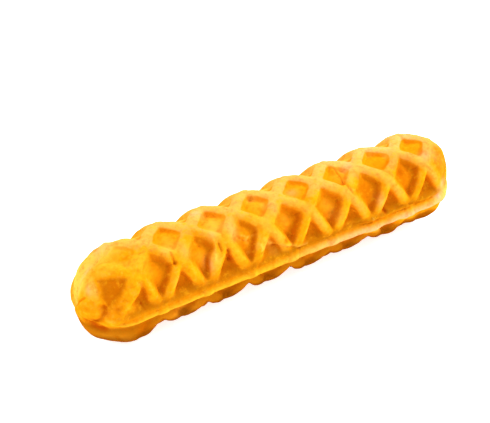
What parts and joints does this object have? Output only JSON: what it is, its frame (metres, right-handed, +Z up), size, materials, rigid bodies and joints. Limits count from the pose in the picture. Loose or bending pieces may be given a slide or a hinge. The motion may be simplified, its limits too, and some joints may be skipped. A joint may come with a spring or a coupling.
{
  "type": "milk breadstick",
  "caption": "Golden milk breadstick baked in a closed mould: raised diagonal ribs, square pits, and a thin lip where the mould's halves met",
  "frame": {"origin": "Middle of the stick's length and width, on the flat of its lowest ribs", "axes": "+X along the stick, toward the end with the thicker lip; +Y across it, away from the side that the picture shows; +Z up"},
  "size_m": [0.1504, 0.031, 0.0319],
  "materials": {
    "crust": "baked golden crust, satin"
  },
  "bodies": {
    "root": {"breadstick": "crust"}
  },
  "joints": []
}
